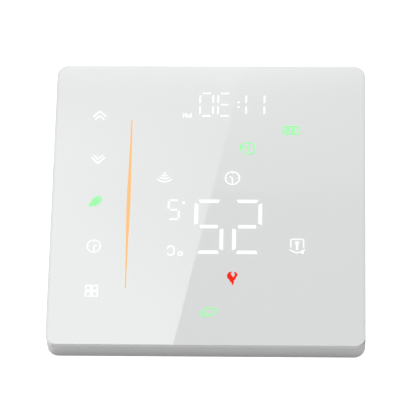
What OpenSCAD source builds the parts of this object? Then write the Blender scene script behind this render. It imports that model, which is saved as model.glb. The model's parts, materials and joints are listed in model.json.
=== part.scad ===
// Touch-glass room thermostat for a flush wall box: a slim control unit that plugs onto a
// bracket and a power unit. X runs right, Y into the wall, Z up, as the unit hangs on the wall.
// The origin is the middle of the wall plane behind the unit.

/* [Front panel] */
// Width and height of the square front
panel_w = 86; // [84:1:90]
// Corner radius of the glass and of the housing
panel_r = 3; // [2.5:0.5:4]
// Distance from the wall to the front of the glass
front_depth = 7.9; // [7.5:0.1:9]
// Thickness of the glass
glass_t = 2; // [1.6:0.1:2]
// Wall thickness of the front housing
housing_wall = 1.5; // [1.2:0.1:1.6]
// Gap between the front housing and the wall
wall_gap = 0.2; // [0.1:0.1:0.5]

/* [Display] */
// Height of the big temperature digits, between stroke middles
digit_h = 15.6; // [12:0.2:15.6]
// Width of the big temperature digits, between stroke middles
digit_w = 7.1; // [6:0.1:7.1]
// Stroke of the big temperature digits
digit_stroke = 1.2; // [0.8:0.1:1.3]
// Height of the clock digits, between stroke middles
clock_h = 7.2; // [5:0.1:7.4]
// Distance between neighbouring touch keys
key_pitch = 13.5; // [11:0.1:13.6]
// Distance of the touch keys from the middle
key_x = 30.8; // [30:0.1:31]

/* [Wall mounting] */
// Distance between the screws of the wall box
screw_spacing = 60; // [60:0.1:60.5]
// Width of the slots for the wall screws
slot_w = 4.4; // [4.2:0.1:4.6]
// Length of the slots for the wall screws
slot_l = 8; // [6:0.5:8]
// Thickness of the steel bracket
bracket_t = 0.8; // [0.6:0.1:0.9]

/* [Power unit] */
// Width of the box that goes into the wall
box_w = 51; // [50:1:54]
// Height of the box that goes into the wall
box_h = 48; // [47:1:50]
// Depth of the box behind the wall plane
box_d = 25; // [25:1:30]
// Wall thickness of the box
box_wall = 1.6; // [1.2:0.1:1.8]

/* [Terminals] */
// Distance between neighbouring terminals
terminal_pitch = 6.4; // [6.2:0.1:6.5]
// Diameter of the clamp screws
clamp_screw_d = 3; // [2.5:0.1:3]

/* [Hidden] */
$fn = 48;
TERMINALS = 6;
fit = 0.1;             // clearance between pieces that slot together
running = 0.05;        // clearance between pieces that slide or turn
tape_t = 0.2;
film_t = 0.15;
floor_t = 1.2;
mask_t = 1.6;
board_t = 1;
cover_t = 0.8;

// Stations along Y, from the glass back to the wall
y_glass = -front_depth;
y_rim = y_glass + glass_t;             // back of the glass
y_floor = y_rim + tape_t;              // front of the housing floor and of the light mask
y_board = y_floor + mask_t;            // front of the display board
y_board_back = y_board + board_t;
y_cover_out = -bracket_t - 0.2;        // back of the rear cover, clear of the bracket
y_cover_in = y_cover_out - cover_t;
y_bulge = 1.8;                         // back of the rear cover's bulge
y_box_cover = 3.2;
box_cover_t = 1.2;
y_power = 5;                           // front of the power board
power_t = 1.6;
y_parts = y_power + power_t;           // the side of the power board that carries the parts
y_box_back = box_d;
y_seat = -0.2;                         // the box's rim sits this far into the bracket

inner_w = panel_w - 2 * housing_wall;
cover_w = inner_w - 0.4;
mask_w = 66;
mask_h = 72;
mask_x = 3;                            // middle of the light mask
key_hole_d = 9;
boss_at = inner_w / 2 - 4;             // corner bosses of the front housing
boss_d = 5.2;
board_w = 77;
board_h = 79.2;
board_notch = 6.6;                     // corner notches that clear the bosses
board_screws = [[-34.3, 22], [-34.3, -22], [20, 38], [20, -38]];
sensor_x = -20;

// Octagons that follow the box's inside, its corner bosses and the bulge: half width, half height, corner cut
box_in_w = box_w / 2 - box_wall;
box_in_h = box_h / 2 - box_wall;
window_oct = [box_in_w + 0.1, box_in_h - 0.4, 7];
bulge_oct = [box_in_w - 0.7, box_in_h - 1.2, 6.8];
power_oct = [box_in_w - 0.2, box_in_h - 0.2, 7.1];
box_boss = [box_in_w - 1.8, box_in_h - 2];
box_boss_d = 4.4;
vent_w = 1.2;
bracket_w = 78;
bracket_corner = 8;                    // corner cuts that clear the cover screws
tab_x = 39.5;                          // inner face of the bracket's spring tabs
tab_z = 22;
tab_w = 10;
tab_l = 3.6;

header_x = 0;
header_z = 14;
header_pitch = 2.54;
header_cols = 5;
socket_w = 13.2;
socket_h = 5.6;
header_base_t = 2.5;
pin_w = 0.64;

// Terminals
block_w = TERMINALS * terminal_pitch + 0.8;
block_top = -11.4;
block_bottom = -box_h / 2;
y_block_back = box_d - 0.6;
screw_z = -17.2;                       // axis of the clamp screws
cage_w = 4.9;
cage_l = 6.8;
cage_h = 10;
cage_wall = 0.8;
cage_plate = 1.6;                      // the threaded plate of the cage
y_cage = y_parts + 0.7;                // front end of an open cage
y_cavity = y_parts + 0.5;
y_ledge = 20;                          // the ledge that the screw heads stand on
ledge_t = 0.9;
y_bar = 12.4;
bar_t = 1;
head_t = 1.8;
head_d = 4.2;

// Relay
relay = [11.5, -4.4];                  // middle, in X and Z
relay_w = 19;
relay_l = 10.6;
relay_h = 14;
relay_wall = 0.7;
coil_x = relay[0] - 3.3;
hinge_x = relay[0] + 2.9;
y_armature = y_parts + 11.1;

// Middles and sizes of the icon windows: room, weather, heating, clock, network, saving, auto, PM, degrees C
icons = [
    [-24.6, 13.3, 5, 5.2], [-0.7, 33.2, 5.4, 3.6], [-7, 23, 4.2, 5], [-6.7, -7.7, 5, 5],
    [12.1, -7.9, 5.2, 4], [-10.4, -17, 5, 4.8], [-22.5, -22.8, 5.8, 3.6], [6.4, -27.2, 3.2, 2.4],
    [9, 14.8, 5, 4]
];
// Middles of the digits: [x, z, width, height, stroke]
digits = [
    [-10.8, 7.4, digit_w, digit_h, digit_stroke], [-0.3, 7.4, digit_w, digit_h, digit_stroke],
    [9.3, 2.3, 2.9, 5.8, 0.65]
];
clock_stroke = 0.6;
clock_digits = [for (x = [-16.8, -11.8, -4, 1.05]) [x, -30.8, 3.6, clock_h, clock_stroke]];
dots = [[6.7, 0.1, 0.55]];
clock_dots = [[-7.8, -30, 0.45], [-7.8, -31.5, 0.45]];
bar_at = [21.7, 0];
bar_l = 52;
light_bar_w = 1.2;

// ---------- shared shapes ----------

// Extrudes a shape drawn in X and Z from y0 to y1
module slab(y0, y1) {
    translate([0, y1, 0]) rotate([90, 0, 0]) linear_extrude(y1 - y0) children();
}

// A round rod along Y
module rod(x, z, y0, y1, d) {
    translate([x, y1, z]) rotate([90, 0, 0]) cylinder(h = y1 - y0, d = d);
}

// A cone along Y, with its diameter at each end
module taper(x, z, y0, y1, d0, d1) {
    translate([x, y0, z]) rotate([-90, 0, 0]) cylinder(h = y1 - y0, d1 = d0, d2 = d1);
}

// A box from its middle in X and Z, its size, and its ends along Y
module block(x, z, w, h, y0, y1) {
    translate([x - w / 2, y0, z - h / 2]) cube([w, y1 - y0, h]);
}

// A rectangle with round corners about the middle
module round_rect(w, h, r) {
    square([w - 2 * r, h], center = true);
    square([w, h - 2 * r], center = true);
    for (x = [-1, 1], z = [-1, 1])
        translate([x * (w / 2 - r), z * (h / 2 - r)]) circle(r);
}

// A rectangle with its corners cut at 45 degrees: o is [half width, half height, cut]
module octagon(o) {
    polygon([
        [o[0], o[1] - o[2]], [o[0] - o[2], o[1]], [o[2] - o[0], o[1]], [-o[0], o[1] - o[2]],
        [-o[0], o[2] - o[1]], [o[2] - o[0], -o[1]], [o[0] - o[2], -o[1]], [o[0], o[2] - o[1]]
    ]);
}

// One stroke of a seven-segment digit, along X, with pointed ends
module stroke(l, t) {
    polygon([
        [-l / 2, 0], [-l / 2 + t / 2, t / 2], [l / 2 - t / 2, t / 2],
        [l / 2, 0], [l / 2 - t / 2, -t / 2], [-l / 2 + t / 2, -t / 2]
    ]);
}

// All seven strokes of a digit: d is [x, z, width, height, stroke]
module seven_segments(d, grow = 0) {
    gap = d[4] * 0.4;
    for (row = [-1:1])
        translate([d[0], d[1] + row * d[3] / 2]) stroke(d[2] - gap + grow, d[4] + grow);
    for (side = [-1, 1], half = [-1, 1])
        translate([d[0] + side * d[2] / 2, d[1] + half * d[3] / 4]) rotate(90)
            stroke(d[3] / 2 - gap + grow, d[4] + grow);
}

module round_dots(list, grow = 0) {
    for (p = list) translate([p[0], p[1]]) circle(p[2] + grow);
}

module icon_shapes(grow = 0) {
    for (i = icons) translate([i[0], i[1]]) round_rect(i[2] + grow, i[3] + grow, 0.6);
}

// A long thin diamond
module bar_shape(grow = 0) {
    l = bar_l / 2 + grow;
    w = light_bar_w / 2 + grow;
    translate(bar_at) polygon([[0, -l], [w, 0], [0, l], [-w, 0]]);
}

module at_keys() {
    for (k = [-2:2]) translate([key_x, k * key_pitch]) children();
}

// ---------- control unit ----------

module glass_panel() {
    color("white") slab(y_glass, y_rim) round_rect(panel_w, panel_w, panel_r);
}

module adhesive_tape() {
    color("lightgray") slab(y_rim, y_floor) difference() {
        round_rect(cover_w, cover_w, panel_r - housing_wall);
        round_rect(cover_w - 4, cover_w - 4, 1);
    }
}

module diffuser_film() {
    color("ivory") slab(y_floor - film_t, y_floor) difference() {
        translate([mask_x, 0]) round_rect(mask_w, mask_h, 3);
        at_keys() circle(d = key_hole_d);
    }
}

module light_mask() {
    color("dimgray") slab(y_floor, y_board) difference() {
        translate([mask_x, 0]) round_rect(mask_w, mask_h, 3);
        at_keys() circle(d = key_hole_d);
        for (d = concat(digits, clock_digits)) seven_segments(d, fit);
        round_dots(concat(dots, clock_dots), fit / 2);
        icon_shapes(fit);
        bar_shape(fit);
    }
}

module window_slab() {
    slab(y_floor, y_floor + 0.8) children();
}

module digit_windows() {
    color("whitesmoke") window_slab() {
        for (d = digits) seven_segments(d);
        round_dots(dots);
    }
}

module clock_windows() {
    color("whitesmoke") window_slab() {
        for (d = clock_digits) seven_segments(d);
        round_dots(clock_dots);
    }
}

module icon_windows() {
    color("palegreen") window_slab() icon_shapes();
}

module light_bar() {
    color("orange") window_slab() bar_shape();
}

// A touch spring: a coil of round wire from the board to the back of the glass
spring_d = 7;
wire_d = 0.4;
spring_turns = 2.5;
spring_steps = 14;     // rings in a turn
wire_sides = 5;
function spring_point(k, h) =
    let (a = k * 360 / spring_steps, s = k / (spring_turns * spring_steps))
    [spring_d / 2 * cos(a), s * h, spring_d / 2 * sin(a)];
function spring_ring(k, h) =
    let (a = k * 360 / spring_steps, c = spring_point(k, h))
    [for (j = [0:wire_sides - 1])
        let (b = j * 360 / wire_sides, u = wire_d / 2 * cos(b), v = wire_d / 2 * sin(b))
        c + [u * cos(a), v, u * sin(a)]];

module spring(y0, y1) {
    rings = spring_turns * spring_steps;
    h = y1 - y0 - wire_d;
    points = [for (k = [0:rings]) each spring_ring(k, h)];
    sides = [for (k = [0:rings - 1], j = [0:wire_sides - 1])
        let (a = k * wire_sides + j, b = k * wire_sides + (j + 1) % wire_sides)
        each [[a, b, b + wire_sides], [a, b + wire_sides, a + wire_sides]]];
    first = [for (j = [wire_sides - 1:-1:0]) j];
    last = [for (j = [0:wire_sides - 1]) rings * wire_sides + j];
    translate([0, y0 + wire_d / 2, 0]) polyhedron(points, concat(sides, [first, last]));
}

module touch_springs() {
    color("silver") for (k = [-2:2])
        translate([key_x, 0, k * key_pitch]) spring(y_rim + 0.02, y_board - 0.02);
}

// A light-emitting chip on the display board, behind each window
module led(x, z) {
    block(x, z, 1.2, 0.6, y_board - 0.6, y_board);
}

// Two chips share a long stroke, and the others have one
module leds() {
    color("lightyellow") {
        for (d = digits, row = [-1:1]) led(d[0], d[1] + row * d[3] / 2);
        for (d = digits, side = [-1, 1], half = [-1, 1])
            block(d[0] + side * d[2] / 2, d[1] + half * d[3] / 4, 0.5, 1.2, y_board - 0.6, y_board);
        for (d = clock_digits, row = [-1:1])
            block(d[0], d[1] + row * d[3] / 2, 1.2, 0.5, y_board - 0.6, y_board);
        for (d = clock_digits, side = [-1, 1], half = [-1, 1])
            block(d[0] + side * d[2] / 2, d[1] + half * d[3] / 4, 0.5, 1.2, y_board - 0.6, y_board);
        for (i = icons) led(i[0], i[1]);
        for (k = [-2:2]) led(key_x, k * key_pitch);
        for (k = [-2:2]) block(bar_at[0], k * 8, 0.5, 1.2, y_board - 0.6, y_board);
    }
}

module display_board() {
    color("green") slab(y_board, y_board_back) difference() {
        union() {
            square([board_w, board_h - 2 * board_notch], center = true);
            square([board_w - 2 * board_notch, board_h], center = true);
        }
        for (p = board_screws) translate(p) circle(d = 2.2);
        translate([sensor_x, -board_h / 2]) square([5, 3], center = true);
    }
}

// A small pan-head screw that points at -Y: y is the underside of its head
module small_screw(x, z, y, l, d = 1.8, head = 3.4, head_h = 0.9) {
    difference() {
        union() {
            rod(x, z, y, y + head_h, head);
            rod(x, z, y - l, y, d);
        }
        for (turn = [0, 90])
            translate([x, y + head_h, z]) rotate([0, turn, 0])
                cube([head * 0.55, 0.9, 0.45], center = true);
    }
}

module board_screws() {
    color("silver") for (p = board_screws) small_screw(p[0], p[1], y_board_back, 2.3);
}

module microcontroller() {
    color("black") block(-13.5, 9.5, 7, 7, y_board_back + 0.1, y_board_back + 1.3);
    color("silver") for (side = [0:3], k = [-3:3])
        translate([-13.5, 0, 9.5]) rotate([0, side * 90, 0])
            block(k * 0.9, 4.1, 0.4, 1.2, y_board_back, y_board_back + 0.3);
}

module chip(x, z, w, h, pins) {
    pitch = w / pins;
    color("black") block(x, z, w, h, y_board_back + 0.1, y_board_back + 1.1);
    color("silver") for (side = [-1, 1], k = [0:pins - 1])
        block(x - w / 2 + pitch * (k + 0.5), z + side * (h / 2 + 0.4), pitch / 2, 0.8,
              y_board_back, y_board_back + 0.3);
}

module driver_chips() {
    chip(2.6, 4, 7, 3.6, 8);
    chip(0, -17.2, 7, 3, 8);
}

module network_board() {
    color("darkgreen") difference() {
        block(-11.5, -7, 15, 17, y_board_back, y_board_back + 0.8);
        for (side = [-1, 1], k = [-3:3])
            rod(-11.5 + side * 7.5, -8.5 + k * 1.9, y_board_back - 1, y_board_back + 1, 0.8);
    }
}

module network_shield() {
    color("silver") difference() {
        block(-11.5, -9.2, 12, 11, y_board_back + 0.8, y_board_back + 2.8);
        block(-11.5, -9.2, 11.6, 10.6, y_board_back + 0.7, y_board_back + 2.6);
    }
}

module buzzer() {
    color("black") difference() {
        block(15, 7, 8.5, 8.5, y_board_back, y_board_back + 2.6);
        rod(15, 7, y_board_back + 1.4, y_board_back + 3, 1.8);
    }
}

cell = [11, -9.4];
cell_d = 12.5;

module coin_cell() {
    color("silver") rod(cell[0], cell[1], y_board_back + 0.2, y_board_back + 2.2, cell_d);
}

// A bridge of sprung metal over the coin cell
module cell_clip() {
    span = cell_d + 2.4;
    color("gold") difference() {
        block(cell[0], cell[1], span, 4, y_board_back, y_board_back + 2.7);
        block(cell[0], cell[1], span - 0.8, 5, y_board_back - 1, y_board_back + 2.3);
    }
}

// A bead thermistor on two leads, in the board's notch behind the vents
module temperature_sensor() {
    bead_top = -board_h / 2 + 0.4;
    color("black") translate([sensor_x, y_board_back - 0.5, bead_top - 1.4]) cylinder(h = 1.4, d = 1.4);
    color("silver") for (side = [-1, 1])
        block(sensor_x + side * 0.4, bead_top + 0.5, 0.2, 1.2, y_board_back - 0.6, y_board_back - 0.4);
}

module header_socket() {
    color("black") difference() {
        block(header_x, header_z, socket_w, socket_h, y_board_back, y_power - header_base_t - 0.1);
        at_header_pins() square(pin_w + 0.16, center = true);
    }
}

// Cuts through the socket at each pin, from the mouth to a little above the board
module at_header_pins() {
    slab(y_board_back + 0.6, y_power) header_grid() children();
}

module header_grid() {
    for (c = [0:header_cols - 1], r = [-1, 1])
        translate([header_x + (c - (header_cols - 1) / 2) * header_pitch,
                   header_z + r * header_pitch / 2])
            children();
}

module front_housing() {
    y_lip = y_rim + fit;
    y_skirt = -wall_gap;
    color("white") difference() {
        union() {
            difference() {
                housing_shell(y_lip, y_skirt);
                slab(y_lip - 1, y_skirt + 1) round_rect(inner_w, inner_w, panel_r - housing_wall);
            }
            slab(y_floor, y_floor + floor_t) difference() {
                round_rect(panel_w - 1, panel_w - 1, panel_r - 0.5);
                translate([mask_x, 0]) round_rect(mask_w + 0.3, mask_h + 0.3, 3.15);
            }
            for (x = [-1, 1], z = [-1, 1]) rod(x * boss_at, z * boss_at, y_floor, y_cover_in, boss_d);
            for (p = board_screws) rod(p[0], p[1], y_floor, y_board, 3.6);
            for (x = [-1, 1], z = [-1, 1]) clip_rib(x, z);
        }
        for (x = [-1, 1], z = [-1, 1])
            rod(x * boss_at, z * boss_at, y_floor + 0.3, y_cover_in + 1, 1.6);
        for (p = board_screws) rod(p[0], p[1], y_floor + 0.2, y_board + 1, 1.8);
        for (k = [-3:3])
            block(sensor_x + k * 1.8, -panel_w / 2, 0.9, 6, y_board, y_board_back + 0.6);
        for (side = [-1, 1])
            block(side * 20, -panel_w / 2, 8, 6, y_skirt - 1, y_skirt + 1);
    }
}

// The outside of the housing: a slight draft towards the wall, and a soft edge round its open end
module housing_shell(y0, y1) {
    draft = 0.03;
    edge_in = 0.1;
    edge_l = 0.5;
    sections = [[y0, 0], [y1 - edge_l, draft], [y1 - 0.01, edge_in]];
    hull() for (s = sections)
        slab(s[0], s[0] + 0.01)
            round_rect(panel_w - 2 * s[1], panel_w - 2 * s[1], panel_r, $fn = 32);
}

// A rib inside the side wall, which a spring tab of the bracket grips
module clip_rib(x, z) {
    face = tab_x + bracket_t + running;
    out = inner_w / 2 + 0.2;
    block(x * (face + out) / 2, z * tab_z, out - face, tab_w - 2, -tab_l, y_cover_out);
}

module rear_cover() {
    color("whitesmoke") difference() {
        union() {
            slab(y_cover_in, y_cover_out) round_rect(cover_w, cover_w, 1.3);
            slab(y_cover_in, y_bulge) octagon(bulge_oct);
        }
        slab(y_cover_in - 1, y_bulge - cover_t) octagon(bulge_oct - [cover_t, cover_t, 0.3]);
        slab(-5, 5) translate([header_x, header_z]) square([socket_w + 0.6, socket_h + 0.6], center = true);
        for (k = [-3:3]) block(k * 3, -10, vent_w, 9, 0, 5);
        for (x = [-1, 1], z = [-1, 1]) {
            rod(x * boss_at, z * boss_at, -5, 5, 2);
            block(x * (cover_w / 2 + 0.8), z * tab_z, 6, tab_w + 0.8, -5, 5);
        }
        for (x = [-1, 1]) {
            slab(-5, y_cover_out + 1) translate([x * screw_spacing / 2, 0]) wall_screw_slot(3);
            slab(-5, y_cover_out + 1) translate([0, x * screw_spacing / 2]) rotate(90) wall_screw_slot(3);
        }
    }
}

module cover_screws() {
    color("silver") for (x = [-1, 1], z = [-1, 1])
        small_screw(x * boss_at, z * boss_at, y_cover_out, 3.4, 1.6, 3.4, 0.65);
}

// ---------- wall bracket ----------

// A slot along X for a wall screw; grow widens it all round
module wall_screw_slot(grow = 0) {
    w = slot_w + 2 * grow;
    straight = slot_l - slot_w;
    square([straight, w], center = true);
    for (x = [-1, 1]) translate([x * straight / 2, 0]) circle(d = w);
}

module mounting_bracket() {
    color("silver") difference() {
        union() {
            slab(-bracket_t, 0) octagon([bracket_w / 2, bracket_w / 2, bracket_corner]);
            for (x = [-1, 1], z = [-1, 1]) spring_tab(x, z);
        }
        slab(-1, 1) octagon(window_oct);
        slab(y_seat, 1) round_rect(box_w + 0.4, box_h + 0.4, 2.2);
        for (x = [-1, 1]) {
            slab(-1, 1) translate([x * screw_spacing / 2, 0]) wall_screw_slot();
            slab(-1, 1) translate([0, x * screw_spacing / 2]) rotate(90) wall_screw_slot();
        }
        for (x = [-1, 1], z = [-1, 1]) {
            rod(x * box_boss[0], z * box_boss[1], -1, 1, 2.2);
            taper(x * box_boss[0], z * box_boss[1], -bracket_t - 0.01, y_seat, 3.6, 2.2);
        }
    }
}

// A tab at the bracket's edge, bent forward to grip the front housing
module spring_tab(x, z) {
    edge = bracket_w / 2 - 1;
    out = tab_x + bracket_t;
    block(x * (edge + out) / 2, z * tab_z, out - edge, tab_w, -bracket_t, 0);
    block(x * (tab_x + bracket_t / 2), z * tab_z, bracket_t, tab_w - 2, -tab_l, 0);
}

module bracket_screws() {
    color("silver") for (x = [-1, 1], z = [-1, 1]) difference() {
        union() {
            taper(x * box_boss[0], z * box_boss[1], -bracket_t, y_seat - 0.02, 3.4, 1.9);
            rod(x * box_boss[0], z * box_boss[1], y_seat - 0.1, 4.4, 1.6);
        }
        for (turn = [0, 90])
            translate([x * box_boss[0], -bracket_t, z * box_boss[1]]) rotate([0, turn, 0])
                cube([1.6, 0.8, 0.35], center = true);
    }
}

// ---------- power unit ----------

module rear_box() {
    color("whitesmoke") difference() {
        union() {
            difference() {
                slab(y_seat, y_box_back) round_rect(box_w, box_h, 2);
                slab(y_seat - 1, y_box_back - box_wall) round_rect(2 * box_in_w, 2 * box_in_h, 0.6);
            }
            for (x = [-1, 1], z = [-1, 1])
                rod(x * box_boss[0], z * box_boss[1], y_seat, y_box_back - 1, box_boss_d);
            for (x = [-1, 1], z = [-4, 11]) block(x * (box_in_w - 0.4), z, 1, 2, y_parts, y_box_back - 1);
        }
        for (x = [-1, 1], z = [-1, 1]) rod(x * box_boss[0], z * box_boss[1], y_seat - 1, 8, 1.6);
        block(0, -box_h / 2, block_w + 0.2, 2 * (block_top + box_h / 2 + fit), y_parts - 0.1, y_box_back + 1);
        for (k = [-4:4]) block(k * 4, 14, vent_w, 8, y_box_back - box_wall - 1, y_box_back + 1);
        for (x = [-1, 1], k = [0:4])
            block(x * box_w / 2, 4, 2 * box_wall + 2, 10, 9 + k * 2.8, 9 + k * 2.8 + vent_w);
    }
}

module box_cover() {
    color("gainsboro") difference() {
        union() {
            slab(y_box_cover, y_box_cover + box_cover_t) octagon(power_oct);
            for (x = [-1, 1], z = [-6, 6]) block(x * 21, z, 2, 2, y_box_cover, y_power);
        }
        slab(0, 10) translate([header_x, header_z]) square([socket_w + 0.6, socket_h + 0.6], center = true);
        for (k = [-3:3]) block(k * 3, 2, vent_w, 10, 0, 10);
    }
}

module power_board() {
    color("green") slab(y_power, y_parts) octagon(power_oct);
}

module header_base() {
    color("black")
        block(header_x, header_z, socket_w - 0.6, socket_h - 0.6, y_power - header_base_t, y_power);
}

module header_pins() {
    y_tip = y_board_back + 1.2;
    color("gold") slab(y_tip, y_power - header_base_t) header_grid() square(pin_w, center = true);
}

transformer = [-13, 12];

// Ferrite core: two outer legs and a top and bottom yoke round the winding
module transformer_core() {
    color("dimgray") difference() {
        block(transformer[0], transformer[1], 14, 6, y_parts + 1, y_parts + 14);
        block(transformer[0], transformer[1], 9.6, 7, y_parts + 3.4, y_parts + 11.6);
    }
}

module transformer_winding() {
    color("gold") difference() {
        block(transformer[0], transformer[1], 9.4, 12, y_parts + 3.5, y_parts + 11.5);
        for (z = [-1, 1])
            block(transformer[0], transformer[1] + z * 6, 8, 1.2, y_parts + 4.4, y_parts + 10.6);
    }
    color("dimgray") for (z = [-1, 1])
        block(transformer[0], transformer[1] + z * 6.8, 12, 1.4, y_parts, y_parts + 3.4);
}

module capacitor(x, z, d, h) {
    difference() {
        rod(x, z, y_parts, y_parts + h, d);
        for (turn = [0, 90]) translate([x, y_parts + h, z]) rotate([0, turn, 0])
            cube([d * 0.7, 0.3, 0.3], center = true);
    }
}

module capacitors() {
    color("midnightblue") {
        capacitor(8, 13, 8, 14);
        capacitor(17, 14.5, 6.3, 11);
    }
}

module safety_capacitor() {
    color("gold") block(-14, -7.6, 13, 5.4, y_parts, y_parts + 11);
}

module varistor() {
    color("steelblue") translate([-17, y_parts + 6.2, -0.6]) cylinder(h = 3.6, d = 9, center = true);
    color("silver") for (side = [-1, 1]) rod(-17 + side * 2.5, -0.6, y_parts, y_parts + 3, 0.8);
}

module fuse() {
    color("saddlebrown") rod(-3, -4.4, y_parts, y_parts + 7.6, 8);
}

module choke() {
    color("dimgray") {
        rod(-2.6, 6.4, y_parts, y_parts + 1.2, 6);
        rod(-2.6, 6.4, y_parts + 7, y_parts + 8.2, 6);
    }
    color("brown") rod(-2.6, 6.4, y_parts + 1.2, y_parts + 7, 5.2);
}

// ---------- relay ----------

module relay_base() {
    color("black") block(relay[0], relay[1], relay_w - 2 * relay_wall - fit, relay_l - 2 * relay_wall - fit,
                         y_parts, y_parts + 1.2);
}

module relay_case() {
    color("royalblue") difference() {
        block(relay[0], relay[1], relay_w, relay_l, y_parts, y_parts + relay_h);
        block(relay[0], relay[1], relay_w - 2 * relay_wall, relay_l - 2 * relay_wall,
              y_parts - 1, y_parts + relay_h - relay_wall);
    }
}

module relay_coil() {
    color("peru") difference() {
        union() {
            rod(coil_x, relay[1], y_parts + 2, y_parts + 10, 7.6);
            rod(coil_x, relay[1], y_parts + 1.9, y_parts + 2.6, 8.8);
            rod(coil_x, relay[1], y_parts + 9.4, y_parts + 10.1, 8.8);
        }
        rod(coil_x, relay[1], y_parts, y_parts + 12, 3 + 2 * running);
    }
}

// The steel core through the coil and the angle beside it, whose edge the armature rocks on
module relay_yoke() {
    leg = 1.2;
    color("silver") {
        rod(coil_x, relay[1], y_parts + 1.3, y_parts + 10.2, 3);
        rod(coil_x, relay[1], y_parts + 10.2, y_parts + 10.5, 5);
        block((coil_x + hinge_x) / 2, relay[1], hinge_x - coil_x + leg, 6, y_parts + 1.3, y_parts + 1.8);
        block(hinge_x, relay[1], leg, 6, y_parts + 1.3, y_armature - 0.05);
    }
}

// The rocking steel plate with the contact spring and its rivet
module relay_armature() {
    reach = hinge_x - coil_x + 3;
    spring_x = hinge_x + 2;
    color("lightgray") {
        block(hinge_x - reach / 2 + 0.4, relay[1], reach + 0.8, 6.4, y_armature, y_armature + 0.9);
        block(hinge_x + 1, relay[1], 2.3, 4, y_armature + 0.3, y_armature + 0.6);
        block(spring_x, relay[1], 0.3, 4, y_parts + 3.4, y_armature + 0.6);
    }
    color("gold") translate([spring_x + 0.1, y_parts + 4.6, relay[1]]) rotate([0, 90, 0])
        cylinder(h = 0.45, d = 2);
}

// The fixed contact that the armature's rivet closes on
module relay_contact() {
    blade_x = hinge_x + 3.45;
    color("gold") {
        block(blade_x, relay[1], 0.4, 3, y_parts + 1.2, y_parts + 6.2);
        translate([blade_x - 0.45, y_parts + 4.6, relay[1]]) rotate([0, 90, 0]) cylinder(h = 0.3, d = 2);
    }
}

// ---------- terminals ----------

function terminal_x(k) = (k - (TERMINALS + 1) / 2) * terminal_pitch;

module terminal_block() {
    color("dimgray") difference() {
        block(0, (block_top + block_bottom) / 2, block_w, block_top - block_bottom, y_parts, y_block_back);
        for (k = [1:TERMINALS]) {
            x = terminal_x(k);
            block(x, screw_z, cage_w + 0.2, cage_l + 0.4, y_cavity, y_ledge);
            rod(x, screw_z, y_ledge - 1, y_block_back, clamp_screw_d + 0.3);
            rod(x, screw_z, y_ledge + ledge_t, y_block_back + 1, head_d + 0.3);
            block(x, block_bottom, 3.4, 2 * (screw_z - block_bottom), y_bar - 3.7, y_bar);
            block(x, block_bottom, 4.4, 1.2, y_bar - 4.2, y_bar + 0.5);
            block(x, screw_z + 2.6, 3.2, 7, y_bar, y_bar + bar_t);
        }
        for (k = [1:TERMINALS - 1]) {
            x = terminal_x(k + 0.5);
            block(x, screw_z, 0.5, 20, y_block_back - 0.4, y_block_back + 1);
            block(x, block_bottom, 0.5, 0.8, y_parts - 1, y_block_back + 1);
        }
    }
}

// One flat bar in each terminal, between the screw's tip and the wire, with a leg down to the board
module contact_bars() {
    color("goldenrod") for (k = [1:TERMINALS])
        block(terminal_x(k), screw_z + 2.4, 2.9, 7, y_bar + 0.05, y_bar + bar_t - 0.05);
}

module clamp_screw(k) {
    x = terminal_x(k);
    y_tip = y_bar + bar_t + running;
    y_head = y_ledge + ledge_t + running;
    color("silver") difference() {
        union() {
            rod(x, screw_z, y_head, y_head + head_t, head_d);
            rod(x, screw_z, y_tip, y_head, clamp_screw_d);
        }
        translate([x, y_head + head_t, screw_z]) cube([head_d + 1, 1.8, 0.7], center = true);
    }
}

// A square tube round the wire and the bar, with the thread for the screw in its thick end
module clamp_cage(k) {
    x = terminal_x(k);
    color("lightsteelblue") difference() {
        block(x, screw_z, cage_w, cage_l, y_cage, y_cage + cage_h);
        block(x, screw_z, cage_w - 2 * cage_wall, cage_l + 1, y_cage + 1, y_cage + cage_h - cage_plate);
        rod(x, screw_z, y_cage + cage_h - cage_plate - 1, y_cage + cage_h + 1, clamp_screw_d + 2 * running);
    }
}

glass_panel();
adhesive_tape();
diffuser_film();
light_mask();
digit_windows();
clock_windows();
icon_windows();
light_bar();
touch_springs();
leds();
display_board();
board_screws();
microcontroller();
driver_chips();
network_board();
network_shield();
buzzer();
coin_cell();
cell_clip();
temperature_sensor();
header_socket();
front_housing();
rear_cover();
cover_screws();
mounting_bracket();
bracket_screws();
rear_box();
box_cover();
power_board();
header_base();
header_pins();
transformer_core();
transformer_winding();
capacitors();
safety_capacitor();
varistor();
fuse();
choke();
relay_base();
relay_case();
relay_coil();
relay_yoke();
relay_armature();
relay_contact();
terminal_block();
contact_bars();
for (k = [1:TERMINALS]) {
    clamp_screw(k);
    clamp_cage(k);
}
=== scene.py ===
import json
import math

import bmesh
import bpy
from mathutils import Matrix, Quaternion, Vector


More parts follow.
